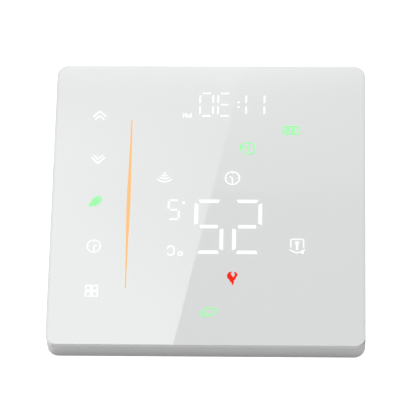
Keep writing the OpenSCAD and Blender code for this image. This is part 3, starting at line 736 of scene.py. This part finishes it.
def status_marks():
    mark = Mark()
    clock_icon(mark, -6.42, -7.75, 1.95, 0.36, 1.45, (-5.7, -8.3))
    mark.done("mark_schedule", WHITE_LIGHT)
    mark = Mark()
    for radius, half_angle in ((1.15, 44), (2.0, 41), (2.93, 43)):
        mark.line(arc(12.3, -9.48, radius, 90 - half_angle, 90 + half_angle, 12), 0.36)
    mark.dot(12.3, -9.15, 0.36)
    mark.done("mark_network", WHITE_LIGHT)
    mark = Mark()
    mark.line([(-26.5, 14.05), (-25.4, 14.72), (-24.3, 15.08), (-23.4, 14.72), (-22.25, 14.1)], 0.34)
    mark.shape([(-26.12, 14.2), (-25.45, 14.6), (-25.45, 15.0), (-25.7, 15.38), (-26.17, 15.38)])
    walls = [(-26.13, 13.6)] + arc(-25.7, 11.3, 0.38, 180, 270, 4) + arc(-23.0, 11.3, 0.38, 270, 360, 4)
    mark.line(walls + [(-22.62, 13.45)], 0.36)
    half = [(0.2, 14.2), (0.32, 13.8), (0.24, 13.2), (0.36, 12.6), (0.56, 11.95), (0.5, 11.6)]
    mark.shape([(-24.33 - w, z) for w, z in half] + [(-24.33 + w, z) for w, z in half[::-1]])
    mark.done("mark_room", WHITE_LIGHT)


def green_marks():
    mark = Mark()
    front = [(-2.55, 31.93), (-2.8, 32.35), (-2.55, 32.85), (-2.0, 33.2), (-1.75, 33.75), (-1.2, 34.03),
             (-0.62, 33.93), (-0.4, 33.5), (0.25, 33.27), (0.82, 32.85), (0.68, 32.2), (0.35, 31.97)]
    mark.line(through(front[:8]) + through(front[7:])[1:] + [(-2.55, 31.93)], 0.43)
    behind = [(-0.5, 33.98), (-0.1, 34.25), (0.35, 34.35), (0.9, 34.1), (1.38, 33.65), (1.45, 33.15),
              (1.0, 32.88)]
    mark.line(through(behind), 0.42)
    mark.done("mark_weather", GREEN_LIGHT)
    mark = Mark()
    roof = [(-12.5, -16.2), (-11.9, -15.85), (-10.7, -15.35), (-9.7, -15.8), (-9.0, -16.4)]
    mark.line(through(roof), 0.36)
    mark.shape([(-12.1, -15.95), (-11.45, -15.6), (-11.6, -15.2), (-12.0, -15.1)])
    mark.line([(-12.22, -16.75), (-12.22, -18.4)], 0.48)
    mark.line([(-11.95, -18.68), (-9.35, -18.68)], 0.38)
    mark.shape(softened([(-8.58, -16.25), (-9.12, -17.35), (-8.88, -17.8), (-9.02, -18.4), (-8.12, -18.4),
                         (-8.3, -17.8), (-8.0, -17.25)], 0.1))
    mark.line([(-11.1, -16.68), (-10.82, -16.68), (-10.82, -17.9), (-11.05, -17.9)], 0.45)
    mark.shape(softened([(-9.87, -16.92), (-9.38, -16.92), (-9.38, -17.7), (-9.87, -17.7)], 0.2))
    mark.done("mark_saving", GREEN_LIGHT)
    mark = Mark()
    mark.line(round_rect(-22.4, -22.78, 4.4, 2.35, 0.5, 4), 0.42, closed=True)
    for x, top, bottom, width in ((-23.38, -21.95, -23.6, 0.4), (-22.75, -21.95, -23.6, 0.44),
                                  (-21.85, -22.35, -23.6, 0.56), (-21.25, -21.95, -23.05, 0.6)):
        mark.line([(x, top), (x, bottom)], width)
    mark.line([(-23.3, -23.0), (-22.8, -22.6)], 0.2)
    mark.line([(-21.5, -23.3), (-20.95, -23.5)], 0.26)
    mark.done("mark_mode", GREEN_LIGHT)


def flame_mark():
    left = [(-6.95, 25.0), (-7.15, 24.65), (-7.33, 24.1), (-7.3, 23.3)]
    lobe = [(-7.75, 23.12), (-7.9, 22.5), (-8.24, 22.0), (-8.24, 21.5), (-8.0, 21.15), (-7.65, 20.95),
            (-7.3, 20.87)]
    notch = [(-7.3, 20.87), (-7.35, 21.1), (-7.55, 21.55), (-7.32, 22.2), (-7.08, 22.55), (-6.85, 22.1),
             (-6.45, 21.5), (-6.7, 21.05), (-6.72, 20.8)]
    right = [(-6.72, 20.8), (-6.3, 20.92), (-5.88, 21.1), (-5.55, 21.55), (-5.42, 22.2), (-5.62, 22.85),
             (-6.15, 23.4), (-6.35, 24.0), (-6.65, 23.95), (-6.8, 24.5), (-6.95, 25.0)]
    mark = Mark()
    mark.shape([p for part in (left, lobe, notch, right) for p in through(part)[:-1]])
    mark.done("mark_heating", RED_LIGHT)


def key_marks():
    mark = Mark()
    for x in (30.26, 32.08):
        for z in (25.98, 27.77):
            mark.line(round_rect(x, z, 1.42, 1.42, 0.15, 2), 0.35, closed=True)
    mark.dot(31.17, 26.88, 0.22)
    mark.done("key_menu", WHITE_LIGHT)
    mark = Mark()
    clock_icon(mark, 31.02, 13.36, 1.84, 0.3, 1.4, (30.2, 12.93))
    mark.done("key_clock", WHITE_LIGHT)
    mark = Mark()
    above = [(29.55, -1.95), (29.27, -1.2), (29.6, -0.15), (30.3, 0.6), (31.2, 1.05), (32.0, 1.2),
             (32.93, 1.3)]
    below = [(32.93, 1.3), (32.5, 0.1), (31.95, -0.85), (31.1, -1.75), (30.4, -2.08), (29.75, -2.05)]
    vein = [(29.75, -2.05), (30.55, -0.95), (31.5, -0.05), (30.45, -0.9), (29.55, -1.95)]
    mark.shape(through(above, steps=3)[:-1] + through(below, steps=3)[:-1] + vein[:-1])
    mark.done("key_saving", GREEN_LIGHT)
    mark = Mark()
    mark.line([(29.0, -14.0), (30.88, -12.15), (32.68, -14.0)], 0.4)
    mark.line([(29.4, -14.75), (30.82, -13.5), (32.1, -14.75)], 0.38)
    mark.done("key_up", WHITE_LIGHT)
    mark = Mark()
    mark.line([(29.0, -26.85), (30.82, -28.5), (32.6, -26.8)], 0.42)
    mark.line([(29.5, -25.95), (30.8, -27.0), (32.0, -25.95)], 0.42)
    mark.done("key_down", WHITE_LIGHT)


def bar_mark():
    """A thin spindle of light, leaning a little: middle, height and half width down its length."""
    rows = [(22.03, 26.0, 0.12), (22.03, 20.0, 0.2), (22.01, 14.0, 0.29), (21.98, 3.0, 0.49),
            (21.94, -3.0, 0.49), (21.84, -14.0, 0.32), (21.79, -25.8, 0.17)]
    left = through([(x - w, z) for x, z, w in rows], steps=5)
    right = through([(x + w, z) for x, z, w in rows], steps=5)
    mark = Mark()
    mark.shape(left + right[::-1])
    mark.done("mark_bar", AMBER_LIGHT)


temperature_marks()
time_marks()
status_marks()
green_marks()
flame_mark()
key_marks()
bar_mark()


# ---------- terminal numbers ----------

NUMBER_SCALE = 0.85                                # size of the numbers, next to the strokes below
NUMBER_DROP = 1.55                                 # from the top of the block to the middle of the numbers
NUMBER_LINE = 0.3                                  # width of their lines
NUMBER_RISE = 0.22                                 # they stand this far out of the block
NUMBER_SINK = 0.1                                  # and reach this far into it


def number_strokes(figure):
    """Strokes of a small moulded number in a box about 1.2 wide and 2 high, about its middle."""
    return {
        1: [[(-0.35, 0.6), (0.05, 1.0), (0.05, -1.0)]],
        2: [arc(0, 0.45, 0.55, 160, -20, 8) + [(-0.6, -1.0), (0.6, -1.0)]],
        3: [arc(0, 0.48, 0.5, 150, -80, 8) + arc(0, -0.5, 0.55, 80, -150, 8)],
        4: [[(0.3, -1.0), (0.3, 1.0), (-0.6, -0.4), (0.65, -0.4)]],
        5: [[(0.5, 1.0), (-0.4, 1.0), (-0.45, 0.15)] + arc(0, -0.4, 0.58, 110, -150, 9)],
        6: [[(0.35, 1.0), (-0.3, 0.3)] + arc(0, -0.4, 0.57, 160, -200, 14)],
    }[figure]


def terminal_numbers():
    block_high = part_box("terminal_block")[1]
    y_back = block_high.y / MM
    z = block_high.z / MM - GLASS.z - NUMBER_DROP
    ink = moulded("number_ink", (0.62, 0.62, 0.6), 0.55)
    for k in range(1, 7):
        low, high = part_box(f"clamp_screw_{k}")
        x = (low.x + high.x) / 2 / MM - GLASS.x
        bm = bmesh.new()
        for strokes in number_strokes(k):
            # the numbers are read from behind, so they run the other way along X
            path = [(x - px * NUMBER_SCALE, z + pz * NUMBER_SCALE) for px, pz in strokes]
            add_ribbon(bm, path, NUMBER_LINE, y_back - NUMBER_SINK, y_back + NUMBER_RISE)
        piece(f"terminal_number_{k}", bm, ink, "wall_base")


terminal_numbers()


# ---------- camera ----------

FACE = Vector((GLASS.x * MM, glass_low.y, GLASS.z * MM))
CAMERA_AZIMUTH = math.radians(-2.176)
CAMERA_ELEVATION = math.radians(27.13)
CAMERA_ROLL = math.radians(181.296)
CAMERA_DISTANCE = 0.9028
CAMERA_AIM = Vector((0.055, 0, 1.705)) * MM        # the camera aims a little above the middle of the glass
CAMERA_LENS = 285.5                                # focal length in mm, on a sensor 36 mm wide


def aim_camera():
    """A camera in front and above, rolled so that it sees the unit upside down."""
    data = bpy.data.cameras.new("camera")
    data.lens = CAMERA_LENS
    data.sensor_width = 36
    data.clip_end = 100
    camera = bpy.data.objects.new("camera", data)
    bpy.context.scene.collection.objects.link(camera)
    out = Vector((math.sin(CAMERA_AZIMUTH) * math.cos(CAMERA_ELEVATION),
                  -math.cos(CAMERA_AZIMUTH) * math.cos(CAMERA_ELEVATION),
                  math.sin(CAMERA_ELEVATION)))
    camera.location = FACE + CAMERA_AIM + out * CAMERA_DISTANCE
    camera.rotation_mode = "QUATERNION"
    camera.rotation_quaternion = out.to_track_quat("Z", "Y") @ Quaternion((0, 0, 1), CAMERA_ROLL)
    bpy.context.scene.camera = camera
    return camera


camera = aim_camera()


# ---------- studio ----------

FLOOR_Z = -0.8                                     # height of the floor, metres
FLOOR_HALF = 6.0                                   # half its width, metres
WORLD_LEVEL = 0.82                                 # light from all round
WORLD_FRONT = 0.62                                 # more from the front than from the back
WORLD_SIDES = 0.84                                 # less from the sides
WORLD_SLANT = 1.70                                 # more from behind above and from the front below
WORLD_LEAST = 0.03                                 # no direction is darker than this
WORLD_COLOUR = (0.99, 1, 0.995, 1)
FLAG_Y = 0.3                                       # plane of the shade strip, mm
FLAG_H = 8.0                                       # height of the shade strip above the housing, mm
FLAG_LOW = 0.1                                     # it starts this far below the top of the housing, mm
CARD_AWAY = 1.2                                    # from the face to the cards that it reflects, metres
CARD_REACH = 62                                    # the reflection covers this far from the middle, mm
CARD_ROWS = 62                                     # rows and columns of faces on each card
CARD_COLUMNS = 12
CARD_COLOUR = (0.985, 1, 0.99, 1)
FRESNEL = 0.0405                                   # share of light that the glass reflects at this angle
PLAIN_TONE = 0.70                                  # tone of the glass where it reflects nothing
DARK_TONE = 0.72                                   # tone of the glass in the dark part of the reflection
DARK_STEP = 0.016                                  # the dark part is this much lighter below its step
LIGHT_TONE = 0.807                                 # tone of the glass in the light part
LIGHT_MOST = 0.853                                 # the light part gets no lighter than this
SPLIT_X = -0.31                                    # the parts meet here at the middle height, mm
SPLIT_LEAN = 0.207                                 # and this much further right for each mm up
STEP_Z = -4.0                                      # height of a faint step in the dark part, mm
LOW_START = -31                                    # the reflection brightens below this height, mm


def studio_material(name, colour, strength):
    """A dull, evenly glowing material for things outside the object."""
    material = bpy.data.materials.new(name)
    material.use_nodes = True
    shader = material.node_tree.nodes["Principled BSDF"]
    shader.inputs["Base Color"].default_value = (*colour, 1)
    shader.inputs["Roughness"].default_value = 0.9
    shader.inputs["Emission Color"].default_value = (1, 1, 1, 1)
    shader.inputs["Emission Strength"].default_value = strength
    return material


def floor():
    """A plain pale floor, well below the object."""
    bm = bmesh.new()
    corners = [(-1, -1), (1, -1), (1, 1), (-1, 1)]
    bm.faces.new([bm.verts.new((x * FLOOR_HALF, y * FLOOR_HALF, FLOOR_Z)) for x, y in corners])
    ground = piece("floor", bm, studio_material("floor_white", (0.9, 0.9, 0.9), 0.65), None)
    ground.visible_diffuse = False
    ground.visible_glossy = False


def split_x(z):
    """Where the edge between the dark and the light part of the reflection crosses the front."""
    return SPLIT_X + SPLIT_LEAN * z


def low_rise(z):
    """How much the reflection brightens towards the bottom of the front."""
    return 0.0004 * max(0.0, LOW_START - z) ** 2


def dark_tone(x, z):
    """The darker part of the reflection: even above the middle, a faint step, then brighter downwards."""
    tone = DARK_TONE - 0.0003 * max(0.0, z) + low_rise(z)
    if z < STEP_Z:
        across = (x + 20) * (0.0003 + 0.00004 * max(0.0, -22 - z))
        tone += DARK_STEP + 0.00125 * (STEP_Z - z) + across
    return tone


def light_tone(x, z):
    """The lighter part: brightest at the top and far from its edge."""
    across = 0.0011 * (x - 5) * max(0.0, 1 + min(0.0, z + 18) / 22)
    return min(LIGHT_MOST, LIGHT_TONE + across + 0.0009 * max(0.0, z)) + low_rise(z)


def card_point(x, z):
    """Where the ray from the mirrored camera through a point of the front meets the card's plane."""
    mirrored = camera.location.copy()
    mirrored.y = 2 * FACE.y - mirrored.y
    ahead = (FACE - mirrored).normalized()
    spot = place(x, FRONT_Y, z)
    ray = spot - mirrored
    reach = (CARD_AWAY + (FACE - mirrored).length) / ray.dot(ahead)
    return mirrored + ray * reach


def reflection_card(name, tone, x_range):
    """A glowing card that the camera sees only as a reflection in the glass."""
    bm = bmesh.new()
    glow = bm.verts.layers.float.new("glow")
    grid = []
    for r in range(CARD_ROWS + 1):
        z = CARD_REACH * (2 * r / CARD_ROWS - 1)
        x0, x1 = x_range(z)
        line = []
        for c in range(CARD_COLUMNS + 1):
            x = x0 + (x1 - x0) * c / CARD_COLUMNS
            vert = bm.verts.new(card_point(x, z))
            vert[glow] = max(0.0, (tone(x, z) - PLAIN_TONE) / FRESNEL)
            line.append(vert)
        grid.append(line)
    for a, b in zip(grid, grid[1:]):
        for c in range(CARD_COLUMNS):
            bm.faces.new((a[c], a[c + 1], b[c + 1], b[c]))
    material = bpy.data.materials.new(name)
    material.use_nodes = True
    tree = material.node_tree
    shader = tree.nodes["Principled BSDF"]
    shader.inputs["Base Color"].default_value = (0, 0, 0, 1)
    shader.inputs["Specular IOR Level"].default_value = 0
    shader.inputs["Emission Color"].default_value = CARD_COLOUR
    level = tree.nodes.new("ShaderNodeAttribute")
    level.attribute_name = "glow"
    tree.links.new(level.outputs["Fac"], shader.inputs["Emission Strength"])
    card = piece(name, bm, material, None)
    card.visible_camera = False


def shade_flag():
    """A dark strip on the wall above the housing. It takes light off the back of the housing's top side."""
    low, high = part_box("front_housing")
    z0, z1 = high.z - FLAG_LOW * MM, high.z + FLAG_H * MM
    corners = ((low.x, z0), (high.x, z0), (high.x, z1), (low.x, z1))
    bm = bmesh.new()
    bm.faces.new([bm.verts.new((x, FLAG_Y * MM, z)) for x, z in corners])
    flag = piece("shade_flag", bm, studio_material("flag_black", (0.02, 0.02, 0.02), 0.0), None)
    flag.visible_camera = False
    flag.visible_glossy = False


def world_light():
    """Soft grey light: brightest in front, dimmer behind and at the sides. Seen directly it is white."""
    world = bpy.data.worlds.new("studio")
    bpy.context.scene.world = world
    world.use_nodes = True
    tree = world.node_tree
    output = tree.nodes["World Output"]
    glow = tree.nodes["Background"]
    way = tree.nodes.new("ShaderNodeTexCoord")
    parts = tree.nodes.new("ShaderNodeSeparateXYZ")
    tree.links.new(way.outputs["Generated"], parts.inputs[0])

    def calculate(operation, *items):
        """One step of arithmetic on numbers and outputs."""
        node = tree.nodes.new("ShaderNodeMath")
        node.operation = operation
        for socket, item in zip(node.inputs, items):
            if isinstance(item, float):
                socket.default_value = item
            else:
                tree.links.new(item, socket)
        return node.outputs[0]

    x, y, z = (parts.outputs[axis] for axis in "XYZ")
    sides = calculate("MULTIPLY_ADD", calculate("MULTIPLY", x, x), -WORLD_SIDES, WORLD_LEVEL)
    slant = calculate("MULTIPLY_ADD", z, WORLD_SLANT, -WORLD_FRONT)
    level = calculate("MULTIPLY_ADD", y, slant, sides)
    tree.links.new(calculate("MAXIMUM", level, WORLD_LEAST), glow.inputs["Strength"])
    glow.inputs["Color"].default_value = WORLD_COLOUR
    white = tree.nodes.new("ShaderNodeBackground")
    white.inputs["Color"].default_value = (1, 1, 1, 1)
    white.inputs["Strength"].default_value = 1.0
    rays = tree.nodes.new("ShaderNodeLightPath")
    pick = tree.nodes.new("ShaderNodeMixShader")
    tree.links.new(rays.outputs["Is Camera Ray"], pick.inputs[0])
    tree.links.new(glow.outputs[0], pick.inputs[1])
    tree.links.new(white.outputs[0], pick.inputs[2])
    tree.links.new(pick.outputs[0], output.inputs["Surface"])


def fill_light(name, location, energy, size):
    """A soft light that points at the middle of the frame, for the sides and the back."""
    data = bpy.data.lights.new(name, "AREA")
    data.energy = energy
    data.size = size
    light = bpy.data.objects.new(name, data)
    bpy.context.scene.collection.objects.link(light)
    light.location = location
    light.rotation_mode = "QUATERNION"
    light.rotation_quaternion = Vector(light.location).to_track_quat("Z", "Y")
    light.visible_camera = False


floor()
shade_flag()
fill_light("fill_back", (0.35, 1.4, -0.25), 6.5, 1.2)
fill_light("fill_left", (-1.3, 0.35, -0.4), 6.0, 0.6)
fill_light("fill_right", (1.3, 0.35, -0.4), 3.4, 0.6)
reflection_card("card_dark", dark_tone, lambda z: (-CARD_REACH, split_x(z)))
reflection_card("card_light", light_tone, lambda z: (split_x(z), CARD_REACH))
world_light()
bpy.context.scene.view_settings.view_transform = "Standard"
